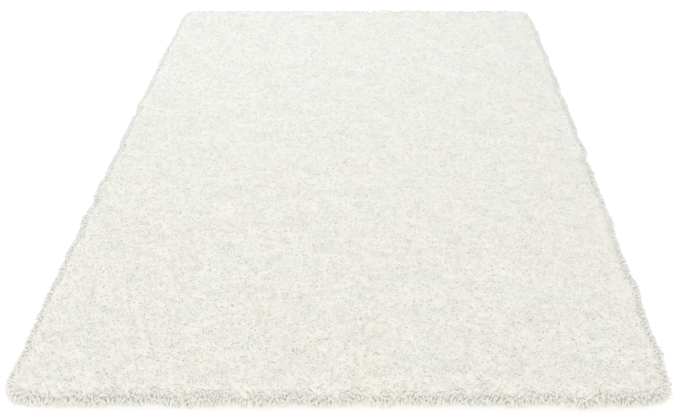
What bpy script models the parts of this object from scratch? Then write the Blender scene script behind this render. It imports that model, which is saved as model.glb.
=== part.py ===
"""A shag rug of 1.2 by 1.7 m, lying flat with its pile up.

The rug is one cloth: a flat backing with yarn tufted into it so densely that the pile reads as a
lumpy slab. All round the rim the tufts lean out past the backing and part into locks, the lowest
of which lie on the floor. Metres, +Z up, +Y along the rug's length, and the origin on the floor
under the rug's middle.
"""

import math
import random
from collections import namedtuple

import bmesh
import bpy
from mathutils import Vector, noise

# The cloth's outline
WIDTH = 1.200  # of the backing, along X
LENGTH = 1.700  # of the backing, along Y
CORNER_RADIUS = 0.034
SIDE_BOW = 0.008  # the long sides stand out this much at half their length
EDGE_WAVE = 0.009  # the pile's edge wanders in and out within about half of this
EDGE_WAVE_SIZE = 0.060  # and about this long is a bump or a dent

# The pile's upper surface
PILE_HEIGHT = 0.0350  # mean height of the yarn's ends over the floor
LUMP_HEIGHT = 0.0100  # lumps rise and fall within about half of this
LUMP_SIZE = 0.060
TUFT_JITTER = 0.0028  # single tufts stand this much above or below the lumps
RIM_DROP = 0.0035  # the upper rim is this much lower
RIM_INSET = 0.006  # and lies this far inside the backing's edge

# The pile's side, ring by ring from under the upper rim down to the floor
Ring = namedtuple("Ring", "reach height")  # reach is outwards from the backing's edge
SIDE_RINGS = (
    Ring(reach=0.006, height=0.0225),
    Ring(reach=0.010, height=0.0110),
    Ring(reach=0.006, height=0.0000),
)

# The upper surface's grid
CELLS_ACROSS = 46
CELLS_ALONG = 66

# The locks: one under each cell of the rim, in one of the side's rows, which are listed from the top
LockRow = namedtuple("LockRow", "rise on_floor")  # rise for each metre outwards
LOCK_ROWS = (
    LockRow(rise=0.35, on_floor=False),
    LockRow(rise=-0.10, on_floor=False),
    LockRow(rise=0.00, on_floor=True),
)
# A lock's sections: how much of its length each adds, and its size as a share of the last one's
LockSection = namedtuple("LockSection", "length size")
LOCK_SECTIONS = (
    LockSection(length=0.60, size=0.76),
    LockSection(length=0.40, size=0.52),
)
SHORTEST_LOCK = 0.009
LONGEST_LOCK = 0.017
MOST_LEAN = 0.35  # sideways for each metre outwards

YARN_COLOUR = (0.855, 0.850, 0.805, 1.0)
YARN_ROUGHNESS = 0.95
SMOOTH_UP_TO = math.radians(50)
SEED = 21
UP = Vector((0, 0, 1))


def clear_scene():
    for obj in list(bpy.data.objects):
        bpy.data.objects.remove(obj)


def past_corner_centre(x, y):
    """How far a point of the plain rectangle lies past the centre of its corner's arc, each way."""
    return abs(x) - (WIDTH / 2 - CORNER_RADIUS), abs(y) - (LENGTH / 2 - CORNER_RADIUS)


def on_cloth(x, y):
    """Where a point of the plain rectangle lies on the cloth, which has round corners and bowed sides."""
    past_x, past_y = past_corner_centre(x, y)
    if min(past_x, past_y) > 0:
        pull = 1 - max(past_x, past_y) / math.hypot(past_x, past_y)
        x -= math.copysign(past_x * pull, x)
        y -= math.copysign(past_y * pull, y)
    bow = SIDE_BOW * (1 - (2 * y / LENGTH) ** 2)
    return Vector((x * (1 + 2 * bow / WIDTH), y, 0))


def outward(x, y):
    """The level direction out of the cloth from a point on the plain rectangle's edge."""
    past_x, past_y = past_corner_centre(x, y)
    if min(past_x, past_y) <= 0:
        past_x, past_y = (1, 0) if past_x > past_y else (0, 1)
    return Vector((math.copysign(past_x, x), math.copysign(past_y, y), 0)).normalized()


def edge_wave(place):
    """How far the pile's edge stands out at a place along it."""
    return EDGE_WAVE * noise.noise(place / EDGE_WAVE_SIZE)


def lumps(place):
    """How far the pile's surface stands above its mean height at a place on the cloth."""
    return LUMP_HEIGHT * noise.noise(place / LUMP_SIZE)


def boundary_edges(bm):
    return [edge for edge in bm.edges if edge.is_boundary]


def add_top(bm, out_layer, chance):
    """The upper surface. Its rim vertices carry their outward direction in out_layer."""
    bmesh.ops.create_grid(bm, x_segments=CELLS_ACROSS, y_segments=CELLS_ALONG, size=0.5)
    for vert in bm.verts:
        x, y = vert.co.x * WIDTH, vert.co.y * LENGTH
        place = on_cloth(x, y)
        height = PILE_HEIGHT + lumps(place) + TUFT_JITTER * chance.uniform(-1, 1)
        if vert.is_boundary:
            vert[out_layer] = outward(x, y)
            place += vert[out_layer] * (edge_wave(place) - RIM_INSET)
            height -= RIM_DROP
        vert.co = place + UP * height


def add_side(bm, out_layer):
    """The side of the pile. Gives its faces in rows from the top, each in order round the rug."""
    rows = []
    reach = -RIM_INSET
    for ring in SIDE_RINGS:
        drawn = bmesh.ops.extrude_edge_only(bm, edges=boundary_edges(bm))["geom"]
        for vert in (item for item in drawn if isinstance(item, bmesh.types.BMVert)):
            vert.co += vert[out_layer] * (ring.reach - reach)
            vert.co.z = ring.height
        faces = [item for item in drawn if isinstance(item, bmesh.types.BMFace)]
        rows.append(sorted(faces, key=angle_round_rug))
        reach = ring.reach
    return rows


def angle_round_rug(face):
    centre = face.calc_center_median()
    return math.atan2(centre.y, centre.x)


def add_underside(bm):
    """The backing's flat underside, one face on the floor."""
    bmesh.ops.contextual_create(bm, geom=boundary_edges(bm))


def add_lock(bm, root, row, length, lean):
    """One lock of yarn, drawn out of a face of the side and thinning towards its end."""
    out = Vector((root.normal.x, root.normal.y, 0)).normalized()
    course = out + lean * UP.cross(out) + row.rise * UP
    face = root
    for section in LOCK_SECTIONS:
        face = bmesh.ops.extrude_discrete_faces(bm, faces=[face])["faces"][0]
        centre = face.calc_center_median()
        if row.on_floor:
            centre.z = 0
        for vert in face.verts:
            spread = (vert.co - centre) * section.size
            vert.co = centre + spread + course * length * section.length


def add_locks(bm, rows, chance):
    """A lock under each cell of the rim, never in the same row as the lock before it."""
    number = 0
    for column in zip(*rows):
        number = (number + chance.choice((1, 2))) % len(LOCK_ROWS)
        length = chance.uniform(SHORTEST_LOCK, LONGEST_LOCK)
        lean = chance.uniform(-MOST_LEAN, MOST_LEAN)
        add_lock(bm, column[number], LOCK_ROWS[number], length, lean)


def yarn():
    material = bpy.data.materials.new("ivory_yarn")
    material.use_nodes = True
    shader = material.node_tree.nodes["Principled BSDF"]
    shader.inputs["Base Color"].default_value = YARN_COLOUR
    shader.inputs["Roughness"].default_value = YARN_ROUGHNESS
    shader.inputs["Metallic"].default_value = 0
    return material


def build_rug():
    chance = random.Random(SEED)
    bm = bmesh.new()
    out_layer = bm.verts.layers.float_vector.new("outward")
    add_top(bm, out_layer, chance)
    rows = add_side(bm, out_layer)
    add_underside(bm)
    bmesh.ops.recalc_face_normals(bm, faces=bm.faces)
    add_locks(bm, rows, chance)
    mesh = bpy.data.meshes.new("shag_rug")
    bm.to_mesh(mesh)
    bm.free()
    mesh.shade_smooth()
    mesh.set_sharp_from_angle(angle=SMOOTH_UP_TO)
    mesh.materials.append(yarn())
    bpy.context.scene.collection.objects.link(bpy.data.objects.new("shag_rug", mesh))


clear_scene()
build_rug()
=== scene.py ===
"""The looks of the shag rug: yarn for the whole pile, the backing that it is tufted into, and round
them a pale floor, soft light and the camera. Metres, +Z up and +Y along the rug, as in the frame.

Every strand of yarn is a closed tube of three sides along a path that rises out of the pile and
curls over. Strands that share a mesh are made together, as arrays with a row for each strand.
"""

import math
from collections import namedtuple

import bmesh
import bpy
import numpy as np
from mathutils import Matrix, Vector, noise


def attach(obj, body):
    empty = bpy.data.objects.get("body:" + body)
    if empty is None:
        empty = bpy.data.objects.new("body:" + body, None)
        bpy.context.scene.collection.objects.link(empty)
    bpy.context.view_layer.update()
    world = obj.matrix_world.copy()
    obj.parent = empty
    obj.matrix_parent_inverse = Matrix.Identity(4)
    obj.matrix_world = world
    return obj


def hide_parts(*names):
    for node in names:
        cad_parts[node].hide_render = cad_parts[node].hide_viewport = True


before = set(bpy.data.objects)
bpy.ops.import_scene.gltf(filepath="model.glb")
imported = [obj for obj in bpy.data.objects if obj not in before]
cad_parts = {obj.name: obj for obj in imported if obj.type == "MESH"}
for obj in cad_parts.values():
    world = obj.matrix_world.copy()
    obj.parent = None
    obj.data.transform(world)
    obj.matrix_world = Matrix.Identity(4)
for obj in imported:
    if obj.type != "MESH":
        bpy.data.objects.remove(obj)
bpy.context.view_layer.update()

SEED = 7

# The cloth's outline, which is the frame's but for the corners
WIDTH = 1.200  # of the backing, along X
LENGTH = 1.700  # of the backing, along Y
CORNER_RADIUS = 0.029  # 5 mm less than the frame's, because the pile fills the corners out
SIDE_BOW = 0.008  # the long sides stand out this much at half their length
RIM_WIDTH = 0.030  # the pile wanders in and out with its edge, less and less, this far in
EDGE_JITTER = 0.45  # of a step round the edge, to either side

PILE_HEIGHT = 0.0345  # mean height of the yarn's ends over the floor

# Patterns of smooth noise: about how long a bump or a patch is, the amount that a pattern mostly
# stays within half of, to either side of none, and where in the noise it starts
Pattern = namedtuple("Pattern", "size amount start")
EDGE_WAVE = Pattern(size=0.060, amount=0.009, start=0.0)  # outwards, as in the frame
LUMPS = Pattern(size=0.060, amount=0.0055, start=0.0)  # upwards, and lower than in the frame
TONE_PATCHES = Pattern(size=0.110, amount=0.18, start=3.0)
WARM_PATCHES = Pattern(size=0.110, amount=0.6, start=8.0)
WARM_SPOTS = Pattern(size=0.035, amount=0.6, start=4.0)
TUFTS = Pattern(size=0.012, amount=math.radians(32), start=6.0)  # the rim's, leaning sideways

# Yarn. A strand's rings and its tip lie at these shares of its length, and each ring's radius is a
# share of the strand's own.
YarnForm = namedtuple("YarnForm", "sides at sizes")
PILE_YARN = YarnForm(sides=3, at=(0.0, 0.42, 0.85, 1.0), sizes=(0.85, 1.05, 0.90))
RIM_YARN = YarnForm(sides=3, at=(0.0, 0.30, 0.60, 0.90, 1.0), sizes=(0.85, 1.0, 1.0, 0.85))
PILE_RADIUS = 0.0026
RIM_RADIUS = 0.0024
RADIUS_SPREAD = 0.13  # the radii's standard deviation, as a share of their mean
MOST_SPREAD = 2  # standard deviations
RING_AXIS = (0.31, 0.17, 0.93)  # rings are squared to it, and hardly any strand runs along it

# How the yarn looks. A strand's tone, from 0 to 1, makes it lighter, and its warmth makes it warmer.
Bump = namedtuple("Bump", "strength depth")
WHITE = (1.0, 1.0, 1.0, 1)
COOL_YARN = (0.798, 0.779, 0.750, 1)
WARM_YARN = (0.811, 0.768, 0.702, 1)
DARKEST_TONE_AND_PAINTED_SHADE = (0.78, 0.84, 0.85, 1)  # shares of the lightest, for the lowest tone; cool, so that the painted shade at the edge and on the rim is bluish too
MEAN_TONE = 0.78
TONE_SPREAD = 0.11  # standard deviation from strand to strand
MEAN_WARMTH = 0.5
TONES = 16  # steps
WARMTHS = 8  # steps
YARN_ROUGHNESS = 1.0
YARN_SHINE = 0.0
# Painted shade: each strand is darker towards its root, where the pile shades it
PAINTED_ROOT_SHADE = 0.80  # a strand has this share of its own lightness at its root,
ROOT_SHARE = 0.5  # and all of it from this share of its length on
PLIES = 2
PLY_TURNS = 4.0  # round the strand, from its root to its tip
PLY_BUMP = Bump(strength=0.15, depth=0.0004)
CAP_MAP = 0.01  # how much of the map along a strand its root's cap takes
COLUMN_MARGIN = 0.1  # at either side of a column of the map of tones and warmths

# The backing
BACKING_THICKNESS = 0.0025
BACKING_INSET = 0.003
BACKING_CORNERS = 400  # round its edge
THREAD_SPACING = 0.0024  # in its weave
FIBRE_SCALE = 700.0  # for each metre
FIBRE_DETAIL = 4.0
JUTE_DARK = (0.40, 0.33, 0.23, 1)
JUTE_LIGHT = (0.66, 0.58, 0.44, 1)
JUTE_ROUGHNESS = 0.95
JUTE_SHINE = 0.5
WEAVE_BUMP = Bump(strength=0.6, depth=0.0006)

# The bed of dense yarn on the backing, whose rings go from its upper rim down to the backing
BED_DEPTH = 0.0046  # under the ends of the yarn
BED_JITTER = 0.0002
BED_CELL = 0.012
BED_RIM_INSET = 0.008  # from the pile's edge to the bed's upper rim
Ring = namedtuple("Ring", "reach height")  # reach is outwards from the pile's edge
BED_RINGS = (
    Ring(reach=0.003, height=0.0240),
    Ring(reach=0.008, height=0.0120),
    Ring(reach=0.004, height=0.0026),
)
# Painted shade of gaps in it, where noise is low: darkest at the first of these values, and gone from
# the second up
GAP_SCALE = 205.0  # for each metre
GAP_DETAIL = 0.5
GAP_VALUES = (0.23, 0.41)
PAINTED_GAP_SHADE = 0.46  # the lightness of the darkest painted shade in a gap, as a share of the yarn's
GAP_BUMP = Bump(strength=0.8, depth=0.003)

# The pile
PILE_PIECES = 4
STRANDS_PER_PIECE = 12000
PILE_MARGIN = 0.004  # from the outermost strands' roots to the backing's edge
ROOT_STAGGER = 0.25  # of the roots' spacing: one row is moved this far one way, the next the other
ROOT_JITTER = 0.35  # of the roots' spacing, to either side
STRAND_LENGTH = (0.014, 0.020)
STRAND_RISE = (60, 120)  # degrees over the level at the root
STRAND_FALL = (-20, 60)  # and at the end
STRAND_CURL = 120  # degrees to either side
DIP_DEPTH = 0.0080  # the lowest strands stay this far under the pile's surface,
DIP_RARITY = 8  # and the higher this is, the fewer lie low
SHOULDER = 0.022  # the pile leans outwards and slopes down within this distance of its edge
SHOULDER_DROP = 0.0050
SHOULDER_LEAN = 1.5  # outwards at the very edge, for each part of leaning any other way
SHOULDER_FALL = 60  # degrees that the ends point further down at the very edge
PAINTED_EDGE_SHADE = 0.22  # painted shade: how much lower the tones are at the edge and all over the rim

# The rim's strands, from the top of the pile's side down to the floor. Angles are in degrees, and
# spread is to either side of straight outwards.
RIM_STRANDS = 7500
RimPlace = namedtuple("RimPlace", "reach height rise fall length spread")
RIM_PLACES = (
    RimPlace(reach=-0.004, height=0.0225, rise=50, fall=0, length=0.016, spread=45),
    RimPlace(reach=0.003, height=0.0150, rise=30, fall=-35, length=0.017, spread=28),
    RimPlace(reach=0.002, height=0.0055, rise=5, fall=-35, length=0.015, spread=22),
)
RIM_STEP = 0.618  # of the rim's depth, from each strand to the next, which spreads them evenly
RIM_STEP_JITTER = 0.06  # of the rim's depth, to either side
RIM_MOST_SPREAD = 1.6  # times the spread
RIM_TURN = 18  # rise and fall each vary by this to either side
RIM_CURL = 35  # to either side
RIM_LENGTHS = (0.8, 1.15)  # times the place's length
RIM_CLEARANCE = 1.02  # radii from the floor to the middle of the lowest strands
RIM_PAINTED_SHADE_WARMTH = 0.2  # times the pile's, so that the rim is cooler as painted shade

# The camera: level from side to side, right of the rug's middle and looking down along its length
IMAGE_WIDTH = 680
SENSOR_WIDTH = 36.0
FOCAL_PIXELS = 773
VANISHING_POINT = (377, -384)  # of the rug's long sides, in pixels
IMAGE_CENTRE = (340, 207.5)
CAMERA_PLACE = (0.071, -1.763, 1.148)

# Light: an even pale surrounding, soft boxes over the far edge, far in front and by the camera, and
# a low one far off at each side
SURROUNDING_COLOUR = (1.0, 0.995, 0.97, 1)
SURROUNDING_STRENGTH = 0.47
SoftBox = namedtuple("SoftBox", "place size power colour")
SOFT_BOXES = (
    SoftBox(place=(-0.45, 1.1, 2.0), size=2.0, power=24.5, colour=(0.74, 0.95, 1.0)),
    SoftBox(place=(0.3, -9.0, 4.2), size=5.0, power=435, colour=(1.0, 0.935, 0.81)),
    SoftBox(place=(-0.7, -1.9, 2.2), size=1.6, power=4, colour=(1.0, 0.76, 0.38)),
    SoftBox(place=(-8.0, -0.5, 2.0), size=4.5, power=310, colour=(1.0, 1.0, 1.0)),
    SoftBox(place=(8.0, -0.5, 2.0), size=4.5, power=255, colour=(1.0, 1.0, 1.0)),
)
GAMMA = 1.7  # the photograph is printed light, with little contrast

FLOOR_SIZE = 30
FLOOR_HEIGHT = -0.0005  # just under the backing
FLOOR_ROUGHNESS = 0.9
FLOOR_SHINE = 0.0
FLOOR_GLOW = 0.16  # so that hardly any shadow shows round the rug


# ------------------------------------------------------------------ the cloth's outline


def past_corner_centre(x, y):
    """How far points of the plain rectangle lie past the centre of their corner's arc, each way."""
    return np.abs(x) - (WIDTH / 2 - CORNER_RADIUS), np.abs(y) - (LENGTH / 2 - CORNER_RADIUS)


def on_cloth(x, y):
    """Where points of the plain rectangle lie on the cloth, with its round corners and bowed sides."""
    past_x, past_y = past_corner_centre(x, y)
    in_corner = np.minimum(past_x, past_y) > 0
    reach = np.where(in_corner, np.hypot(past_x, past_y), 1)
    pull = np.where(in_corner, 1 - np.maximum(past_x, past_y) / reach, 0)
    x = x - np.copysign(past_x * pull, x)
    y = y - np.copysign(past_y * pull, y)
    bow = SIDE_BOW * (1 - (2 * y / LENGTH) ** 2)
    return np.stack([x * (1 + 2 * bow / WIDTH), y, np.zeros_like(x)], axis=-1)


def outward(x, y):
    """The level direction out of the cloth from points on the plain rectangle's edge or near it."""
    past_x, past_y = past_corner_centre(x, y)
    in_corner = np.minimum(past_x, past_y) > 0
    out_x = np.where(in_corner, past_x, past_x > past_y)
    out_y = np.where(in_corner, past_y, past_x <= past_y)
    out = np.stack([np.copysign(out_x, x), np.copysign(out_y, y), np.zeros_like(x)], axis=-1)
    return out / np.linalg.norm(out, axis=-1, keepdims=True)


def nearness(x, y, width):
    """How near points of the plain rectangle are to its edge: 1 on it, and 0 from width inwards."""
    inside = np.minimum(WIDTH / 2 - np.abs(x), LENGTH / 2 - np.abs(y))
    return np.clip(1 - inside / width, 0, 1)


def pattern_at(places, pattern):
    """How much a pattern adds at each place."""
    start = Vector((pattern.start, 0, pattern.start))
    values = [noise.noise(Vector(place) / pattern.size + start) for place in places]
    return pattern.amount * np.array(values)


def with_wave(x, y):
    """Points of the plain rectangle on the cloth, moved with the pile's wandering edge."""
    places = on_cloth(x, y)
    wave = pattern_at(places, EDGE_WAVE) * nearness(x, y, RIM_WIDTH)
    return places + outward(x, y) * wave[:, None]


def round_edge(count, chance):
    """Points of the plain rectangle's edge at even steps round it, each moved a little at random."""
    steps = (np.arange(count) + chance.uniform(-EDGE_JITTER, EDGE_JITTER, count)) / count
    way = (steps % 1) * 2 * (WIDTH + LENGTH)
    ends = np.cumsum([0, WIDTH, LENGTH, WIDTH, LENGTH])
    x = np.interp(way, ends, np.array([-1, 1, 1, -1, -1]) * WIDTH / 2)
    y = np.interp(way, ends, np.array([-1, -1, 1, 1, -1]) * LENGTH / 2)
    return x, y


def heights(places):
    """How high the pile's upper surface lies at each place."""
    return PILE_HEIGHT + pattern_at(places, LUMPS)


# ------------------------------------------------------------------ materials


class Nodes:
    """A material's nodes, made and joined by short calls, which give the socket that a node fills."""

    # A colour mix's sockets, which share their names with those of other kinds of mix
    FIRST_COLOUR, SECOND_COLOUR, MIXED_COLOUR = 6, 7, 2

    def __init__(self, name):
        self.material = bpy.data.materials.new(name)
        self.material.use_nodes = True
        self.tree = self.material.node_tree
        self.shader = self.tree.nodes["Principled BSDF"]

    def put(self, value, socket):
        """Links a socket to another one, or sets it to a plain value."""
        if isinstance(value, bpy.types.NodeSocket):
            self.tree.links.new(value, socket)
        else:
            socket.default_value = value

    def node(self, kind, output=0, **inputs):
        made = self.tree.nodes.new("ShaderNode" + kind)
        for name, value in inputs.items():
            self.put(value, made.inputs[name])
        return made.outputs[output]

    def maths(self, operation, first, second=0.0):
        made = self.tree.nodes.new("ShaderNodeMath")
        made.operation = operation
        self.put(first, made.inputs[0])
        self.put(second, made.inputs[1])
        return made.outputs[0]

    def mix(self, share, first, second, blend="MIX"):
        made = self.tree.nodes.new("ShaderNodeMix")
        made.data_type = "RGBA"
        made.blend_type = blend
        self.put(share, made.inputs["Factor"])
        self.put(first, made.inputs[self.FIRST_COLOUR])
        self.put(second, made.inputs[self.SECOND_COLOUR])
        return made.outputs[self.MIXED_COLOUR]

    def tinted(self, colour, tint):
        return self.mix(1.0, colour, tint, blend="MULTIPLY")

    def remap(self, value, low=0.0, high=1.0, lowest=0.0):
        """Goes from lowest to 1 as the value goes from low to high, and no further."""
        ends = {"From Min": low, "From Max": high, "To Min": lowest}
        return self.node("MapRange", Value=value, **ends)

    def attribute(self, name, output="Fac"):
        made = self.tree.nodes.new("ShaderNodeAttribute")
        made.attribute_name = name
        return made.outputs[output]

    def x_and_y(self, vector):
        parts = self.node("SeparateXYZ", Vector=vector).node.outputs
        return parts["X"], parts["Y"]

    def yarn_hue(self):
        return self.mix(self.attribute("warmth"), COOL_YARN, WARM_YARN)

    def coat(self, colour, roughness, shine):
        self.put(colour, self.shader.inputs["Base Color"])
        self.put(roughness, self.shader.inputs["Roughness"])
        self.put(shine, self.shader.inputs["Specular IOR Level"])

    def emboss(self, height, bump):
        raised = self.node("Bump", Strength=bump.strength, Distance=bump.depth, Height=height)
        self.put(raised, self.shader.inputs["Normal"])


def yarn_material():
    """Plied yarn, darker at its root with painted shade, in the tone and the warmth of its strand."""
    made = Nodes("ivory_yarn")
    around, along = made.x_and_y(made.attribute("lie", "Vector"))
    # the strand's tone, which is lowered by painted shade at the pile's edge and on the rim
    shade = made.mix(made.attribute("tone"), DARKEST_TONE_AND_PAINTED_SHADE, WHITE)
    # painted shade, darker towards the strand's root
    root = made.remap(along, high=ROOT_SHARE, lowest=PAINTED_ROOT_SHADE)
    colour = made.tinted(made.tinted(made.yarn_hue(), shade), root)
    made.coat(colour, YARN_ROUGHNESS, YARN_SHINE)
    turns = made.maths("ADD", around, made.maths("MULTIPLY", along, PLY_TURNS))
    plies = made.maths("SINE", made.maths("MULTIPLY", turns, 2 * math.pi * PLIES))
    made.emboss(plies, PLY_BUMP)
    return made.material


def bed_material():
    """Yarn packed so densely that only the gaps in it show, as spots of painted shade."""
    made = Nodes("deep_yarn")
    place = made.node("TexCoord", output="Object")
    gaps = made.node("TexNoise", Vector=place, Scale=GAP_SCALE, Detail=GAP_DETAIL)
    # painted shade: dark spots where the gaps are
    shade = made.remap(gaps, *GAP_VALUES, lowest=PAINTED_GAP_SHADE)
    made.coat(made.tinted(made.yarn_hue(), shade), YARN_ROUGHNESS, YARN_SHINE)
    made.emboss(gaps, GAP_BUMP)
    return made.material


def backing_material():
    """A plain weave of jute: threads over and under each other both ways, with fibres in them."""
    made = Nodes("woven_backing")
    place = made.node("TexCoord", output="Object")
    turn = math.pi / THREAD_SPACING
    waves = [made.maths("SINE", made.maths("MULTIPLY", way, turn)) for way in made.x_and_y(place)]
    weave = made.remap(made.maths("MULTIPLY", *waves), low=-1.0)
    fibres = made.node("TexNoise", Vector=place, Scale=FIBRE_SCALE, Detail=FIBRE_DETAIL)
    made.coat(made.mix(weave, JUTE_DARK, JUTE_LIGHT), JUTE_ROUGHNESS, JUTE_SHINE)
    made.emboss(made.maths("MULTIPLY", weave, fibres), WEAVE_BUMP)
    return made.material


def floor_material():
    made = Nodes("white_floor")
    made.coat(WHITE, FLOOR_ROUGHNESS, FLOOR_SHINE)
    made.put(WHITE, made.shader.inputs["Emission Color"])
    made.put(FLOOR_GLOW, made.shader.inputs["Emission Strength"])
    return made.material


# ------------------------------------------------------------------ meshes


def add_piece(name, mesh, material):
    mesh.materials.append(material)
    made = bpy.data.objects.new(name, mesh)
    bpy.context.scene.collection.objects.link(made)
    return made


def mesh_of(bm, name):
    """A mesh of what bm holds, with its faces turned outwards."""
    bmesh.ops.recalc_face_normals(bm, faces=bm.faces)
    mesh = bpy.data.meshes.new(name)
    bm.to_mesh(mesh)
    bm.free()
    return mesh


def boundary_edges(bm):
    return [edge for edge in bm.edges if edge.is_boundary]


def only_verts(geometry):
    return [item for item in geometry if isinstance(item, bmesh.types.BMVert)]


# ------------------------------------------------------------------ yarn

# Strands of yarn, with a row for each in every array. Their points are (strands, points, 3).
Strands = namedtuple("Strands", "points radius tone warmth")


def paths(roots, azimuth, rise, fall, curl, length, at):
    """The strands' points. A strand leaves its root towards azimuth and rise, and turns evenly by
    curl sideways and to fall on its way to its end."""
    at = np.array(at)
    middles = (at[1:] + at[:-1]) / 2
    up = rise[:, None] + (fall - rise)[:, None] * middles
    turn = azimuth[:, None] + curl[:, None] * middles
    ways = np.stack([np.cos(up) * np.cos(turn), np.cos(up) * np.sin(turn), np.sin(up)], axis=-1)
    steps = ways * (length[:, None] * np.diff(at))[:, :, None]
    points = np.concatenate([np.zeros((len(roots), 1, 3)), np.cumsum(steps, axis=1)], axis=1)
    return roots[:, None, :] + points


def ring_corners(points, radius, form, phase):
    """The corners of the strands' rings, (strands, rings, sides, 3), square to each strand's path."""
    along = np.gradient(points, axis=1)
    along /= np.linalg.norm(along, axis=-1, keepdims=True)
    side = np.cross(along, np.array(RING_AXIS))
    side /= np.linalg.norm(side, axis=-1, keepdims=True)
    other = np.cross(along, side)
    count = len(form.sizes)
    angles = phase[:, None, None] + np.arange(form.sides) * 2 * np.pi / form.sides
    size = radius[:, None] * np.array(form.sizes)
    across = size[:, :, None] * np.cos(angles)
    upward = size[:, :, None] * np.sin(angles)
    corners = across[..., None] * side[:, :count, None] + upward[..., None] * other[:, :count, None]
    return points[:, :count, None] + corners


def yarn_faces(strands, form):
    """Vertex numbers of all the strands' faces, (strands, faces, corners) for each kind of face:
    quads, triangles at the tip and the cap at the root."""
    sides, count = form.sides, len(form.sizes)
    tip = count * sides
    ring = np.arange(count - 1)[:, None] * sides
    side = np.arange(sides)[None, :]
    after = (side + 1) % sides
    quads = np.stack([ring + side, ring + after, ring + sides + after, ring + sides + side], axis=-1)
    last = (count - 1) * sides
    tips = np.stack([last + side[0], last + after[0], np.full(sides, tip)], axis=-1)
    caps = np.arange(sides)[::-1][None, :]
    start = (np.arange(strands) * (tip + 1))[:, None, None]
    return [start + kind.reshape(1, -1, kind.shape[-1]) for kind in (quads, tips, caps)]


def yarn_maps(form):
    """Where the corners of a strand's faces lie on it, as (around, along), in yarn_faces' order."""
    at = form.at
    around = [(side / form.sides, (side + 1) / form.sides) for side in range(form.sides)]
    quads = [
        [(left, low), (right, low), (right, high), (left, high)]
        for low, high in zip(at[:-2], at[1:-1])
        for left, right in around
    ]
    tips = [[(left, at[-2]), (right, at[-2]), ((left + right) / 2, at[-1])] for left, right in around]
    caps = [[(left, CAP_MAP * (number % 2)) for number, (left, right) in enumerate(around)][::-1]]
    return [np.array(kind) for kind in (quads, tips, caps)]


def yarn_mesh(name, verts, form):
    """A mesh of tubes, from (strands, vertices, 3) with each strand's rings and then its tip."""
    kinds = yarn_faces(len(verts), form)
    corners = np.concatenate([np.full(kind[..., 0].size, kind.shape[-1]) for kind in kinds])
    loops = np.concatenate([kind.ravel() for kind in kinds])
    mesh = bpy.data.meshes.new(name)
    mesh.vertices.add(verts.shape[0] * verts.shape[1])
    mesh.vertices.foreach_set("co", verts.astype(np.float32).ravel())
    mesh.loops.add(len(loops))
    mesh.loops.foreach_set("vertex_index", loops.astype(np.int32))
    mesh.polygons.add(len(corners))
    mesh.polygons.foreach_set("loop_start", (np.cumsum(corners) - corners).astype(np.int32))
    mesh.update(calc_edges=True)
    mesh.shade_smooth()
    return mesh


def nearest_step(values, steps):
    """The number of the step nearest to each value, of steps that are even from 0 to 1."""
    return np.round(values * (steps - 1))


def add_map(mesh, name, places):
    mesh.uv_layers.new(name=name).data.foreach_set("uv", places.astype(np.float32).ravel())


def map_yarn(mesh, strands, form):
    """Two maps. "lie" is how far round and along its strand a place is, and "OFBake" is the same in a
    column for each tone and warmth. Each strand's tone and warmth are kept at its vertices."""
    count = len(strands.points)
    maps = yarn_maps(form)
    lie = np.concatenate([np.broadcast_to(kind, (count, *kind.shape)).reshape(-1, 2) for kind in maps])
    column = nearest_step(strands.warmth, WARMTHS) * TONES + nearest_step(strands.tone, TONES)
    column = np.concatenate([np.repeat(column, kind[..., 0].size) for kind in maps])
    across = column + COLUMN_MARGIN + (1 - 2 * COLUMN_MARGIN) * lie[:, 0]
    add_map(mesh, "lie", lie)
    add_map(mesh, "OFBake", np.stack([across / (TONES * WARMTHS), lie[:, 1]], axis=-1))
    for name, values, steps in (("tone", strands.tone, TONES), ("warmth", strands.warmth, WARMTHS)):
        values = nearest_step(values, steps) / (steps - 1)
        values = np.repeat(values, len(mesh.vertices) // count)
        data = mesh.attributes.new(name, "FLOAT", "POINT").data
        data.foreach_set("value", values.astype(np.float32))


def add_yarn(name, strands, form, material, chance):
    """One piece made of many strands, each a closed tube round its path."""
    count = len(strands.points)
    phase = chance.uniform(0, 2 * np.pi, count)
    corners = ring_corners(strands.points, strands.radius, form, phase)
    tips = strands.points[:, -1:]
    mesh = yarn_mesh(name, np.concatenate([corners.reshape(count, -1, 3), tips], axis=1), form)
    map_yarn(mesh, strands, form)
    return add_piece(name, mesh, material)


def tones(places, shade, chance):
    """Each strand's lightness, from 0 to 1, less its painted shade."""
    light = MEAN_TONE + TONE_SPREAD * chance.standard_normal(len(places))
    return np.clip(light + pattern_at(places, TONE_PATCHES) - shade, 0, 1)


def warmths(places):
    """How warm the yarn's hue is at each place, from 0 to 1."""
    warmth = MEAN_WARMTH + pattern_at(places, WARM_PATCHES) + pattern_at(places, WARM_SPOTS)
    return np.clip(warmth, 0, 1)


def strand_radii(mean, count, chance):
    spread = chance.standard_normal(count).clip(-MOST_SPREAD, MOST_SPREAD)
    return mean * (1 + RADIUS_SPREAD * spread)


def spread_roots(count, chance):
    """About count points of the plain rectangle, evenly spread but for a little chance."""
    wide, long = WIDTH - 2 * PILE_MARGIN, LENGTH - 2 * PILE_MARGIN
    across = round(math.sqrt(count * wide / long))
    rows = round(count / across)
    column, row = np.meshgrid(np.arange(across), np.arange(rows))
    u = (column + 0.5 + ROOT_STAGGER * (-1.0) ** row).ravel()
    v = (row + 0.5).ravel()
    u = u + chance.uniform(-ROOT_JITTER, ROOT_JITTER, len(u))
    v = v + chance.uniform(-ROOT_JITTER, ROOT_JITTER, len(v))
    x = np.clip(u / across - 0.5, -0.5, 0.5) * wide
    y = np.clip(v / rows - 0.5, -0.5, 0.5) * long
    return x, y


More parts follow.
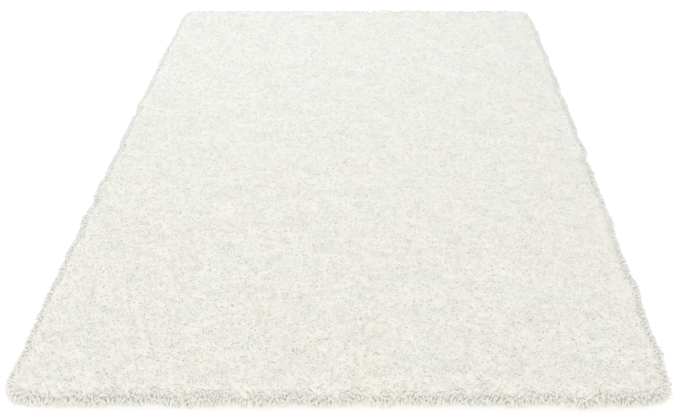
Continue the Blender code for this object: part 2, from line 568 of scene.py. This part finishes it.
def add_pile(material, chance):
    """The pile's strands, in pieces from the near side to the far one."""
    x, y = spread_roots(PILE_PIECES * STRANDS_PER_PIECE, chance)
    roots = with_wave(x, y)
    count = len(roots)
    shoulder = nearness(x, y, SHOULDER)
    out = outward(x, y) * (SHOULDER_LEAN * shoulder)[:, None]
    lean = chance.uniform(0, 2 * np.pi, count)
    azimuth = np.arctan2(np.sin(lean) + out[:, 1], np.cos(lean) + out[:, 0])
    rise = np.radians(chance.uniform(*STRAND_RISE, count))
    fall = np.radians(chance.uniform(*STRAND_FALL, count) - SHOULDER_FALL * shoulder)
    curl = np.radians(chance.uniform(-STRAND_CURL, STRAND_CURL, count)) * (1 - shoulder)
    length = chance.uniform(*STRAND_LENGTH, count)
    points = paths(roots, azimuth, rise, fall, curl, length, PILE_YARN.at)
    radius = strand_radii(PILE_RADIUS, count, chance)
    top = points[:, :, 2].max(axis=1) + radius
    level = heights(roots) - DIP_DEPTH * chance.random(count) ** DIP_RARITY
    points[:, :, 2] += (level - SHOULDER_DROP * shoulder ** 2 - top)[:, None]
    # painted shade: strands are darker near the pile's edge
    tone = tones(roots, PAINTED_EDGE_SHADE * shoulder, chance)
    strands = Strands(points, radius, tone, warmths(roots))
    pieces = []
    for own in np.array_split(np.argsort(roots[:, 1], kind="stable"), PILE_PIECES):
        name = f"pile_{len(pieces) + 1}"
        own_strands = Strands(*(values[own] for values in strands))
        pieces.append(add_yarn(name, own_strands, PILE_YARN, material, chance))
    return pieces


def add_rim(material, chance):
    """The strands that lean out all round the pile's side."""
    count = RIM_STRANDS
    x, y = round_edge(count, chance)
    depth = np.arange(count) * RIM_STEP
    depth = (depth + chance.uniform(-RIM_STEP_JITTER, RIM_STEP_JITTER, count)) % 1
    share = np.linspace(0, 1, len(RIM_PLACES))
    place = RimPlace(*(np.interp(depth, share, values) for values in zip(*RIM_PLACES)))
    out = outward(x, y)
    roots = with_wave(x, y) + out * place.reach[:, None]
    roots[:, 2] = place.height
    side = chance.standard_normal(count).clip(-RIM_MOST_SPREAD, RIM_MOST_SPREAD)
    side = np.radians(place.spread) * side
    azimuth = np.arctan2(out[:, 1], out[:, 0]) + side + pattern_at(roots, TUFTS)
    rise = np.radians(place.rise + chance.uniform(-RIM_TURN, RIM_TURN, count))
    fall = np.radians(place.fall + chance.uniform(-RIM_TURN, RIM_TURN, count))
    curl = np.radians(chance.uniform(-RIM_CURL, RIM_CURL, count))
    length = place.length * chance.uniform(*RIM_LENGTHS, count)
    points = paths(roots, azimuth, rise, fall, curl, length, RIM_YARN.at)
    radius = strand_radii(RIM_RADIUS, count, chance)
    points[:, :, 2] = np.maximum(points[:, :, 2], radius[:, None] * RIM_CLEARANCE)
    # painted shade: the rim's strands are darker all over
    tone = tones(roots, PAINTED_EDGE_SHADE, chance)
    # painted shade: the rim's yarn is cooler than the pile's
    strands = Strands(points, radius, tone, warmths(roots) * RIM_PAINTED_SHADE_WARMTH)
    return add_yarn("rim_tufts", strands, RIM_YARN, material, chance)


# ------------------------------------------------------------------ the bed and the backing


def add_bed_top(bm, out_layer, chance):
    """The bed's upper surface. Its vertices carry their warmth, and their outward direction in
    out_layer."""
    warmth_layer = bm.verts.layers.float.new("warmth")
    cells = round(WIDTH / BED_CELL), round(LENGTH / BED_CELL)
    bmesh.ops.create_grid(bm, x_segments=cells[0], y_segments=cells[1], size=0.5)
    x = np.array([vert.co.x for vert in bm.verts]) * WIDTH
    y = np.array([vert.co.y for vert in bm.verts]) * LENGTH
    places = with_wave(x, y)
    levels = heights(places) - BED_DEPTH + BED_JITTER * chance.uniform(-1, 1, len(x))
    columns = (bm.verts, places, levels, outward(x, y), warmths(places))
    for vert, place, level, out, warmth in zip(*columns):
        inset = BED_RIM_INSET if vert.is_boundary else 0.0
        vert.co = Vector((place[0], place[1], level)) - Vector(out) * inset
        vert[out_layer] = Vector(out)
        vert[warmth_layer] = warmth


def add_bed_side(bm, out_layer):
    """The bed's side, ring by ring, and the flat underside."""
    reach = -BED_RIM_INSET
    for ring in BED_RINGS:
        drawn = bmesh.ops.extrude_edge_only(bm, edges=boundary_edges(bm))["geom"]
        for vert in only_verts(drawn):
            vert.co += vert[out_layer] * (ring.reach - reach)
            vert.co.z = ring.height
        reach = ring.reach
    bmesh.ops.contextual_create(bm, geom=boundary_edges(bm))


def add_bed(chance):
    """The dense lower part of the pile, which shows between the strands."""
    bm = bmesh.new()
    out_layer = bm.verts.layers.float_vector.new("outward")
    add_bed_top(bm, out_layer, chance)
    add_bed_side(bm, out_layer)
    mesh = mesh_of(bm, "pile_bed")
    mesh.shade_smooth()
    return add_piece("pile_bed", mesh, bed_material())


def add_backing(chance):
    """The cloth that the yarn is tufted into: a thin flat sheet on the floor."""
    x, y = round_edge(BACKING_CORNERS, chance)
    edge = on_cloth(x, y) - outward(x, y) * BACKING_INSET
    bm = bmesh.new()
    face = bm.faces.new([bm.verts.new(point) for point in edge])
    lifted = bmesh.ops.extrude_face_region(bm, geom=[face])["geom"]
    for vert in only_verts(lifted):
        vert.co.z = BACKING_THICKNESS
    return add_piece("backing", mesh_of(bm, "backing"), backing_material())


# ------------------------------------------------------------------ floor, light and camera


def add_floor():
    bpy.ops.mesh.primitive_plane_add(size=FLOOR_SIZE, location=(0, 0, FLOOR_HEIGHT))
    floor = bpy.context.object
    floor.name = "floor"
    floor.data.materials.append(floor_material())


def add_light():
    """The surrounding, and the soft boxes, each of which faces the rug's middle."""
    scene = bpy.context.scene
    scene.world = bpy.data.worlds.new("studio")
    scene.world.use_nodes = True
    background = scene.world.node_tree.nodes["Background"]
    background.inputs["Color"].default_value = SURROUNDING_COLOUR
    background.inputs["Strength"].default_value = SURROUNDING_STRENGTH
    for box in SOFT_BOXES:
        data = bpy.data.lights.new("soft_box", "AREA")
        data.size = box.size
        data.energy = box.power
        data.color = box.colour
        light = bpy.data.objects.new("soft_box", data)
        light.location = box.place
        light.rotation_euler = Vector(box.place).to_track_quat("Z", "Y").to_euler()
        scene.collection.objects.link(light)
    scene.view_settings.view_transform = "Standard"
    scene.view_settings.gamma = GAMMA


def add_camera():
    data = bpy.data.cameras.new("camera")
    data.sensor_width = SENSOR_WIDTH
    data.lens = FOCAL_PIXELS / IMAGE_WIDTH * SENSOR_WIDTH
    data.shift_x = (IMAGE_CENTRE[0] - VANISHING_POINT[0]) / IMAGE_WIDTH
    camera = bpy.data.objects.new("camera", data)
    pitch = math.atan((IMAGE_CENTRE[1] - VANISHING_POINT[1]) / FOCAL_PIXELS)
    camera.location = CAMERA_PLACE
    camera.rotation_euler = (math.pi / 2 - pitch, 0, 0)
    bpy.context.scene.collection.objects.link(camera)
    bpy.context.scene.camera = camera


def build():
    chance = np.random.default_rng(SEED)
    bed = add_bed(chance)
    backing = add_backing(np.random.default_rng(SEED))
    yarn = yarn_material()
    pile = [*add_pile(yarn, chance), add_rim(yarn, chance)]
    for piece in (bed, backing, *pile):
        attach(piece, "root")
    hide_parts("shag_rug")
    add_floor()
    add_light()
    add_camera()


build()
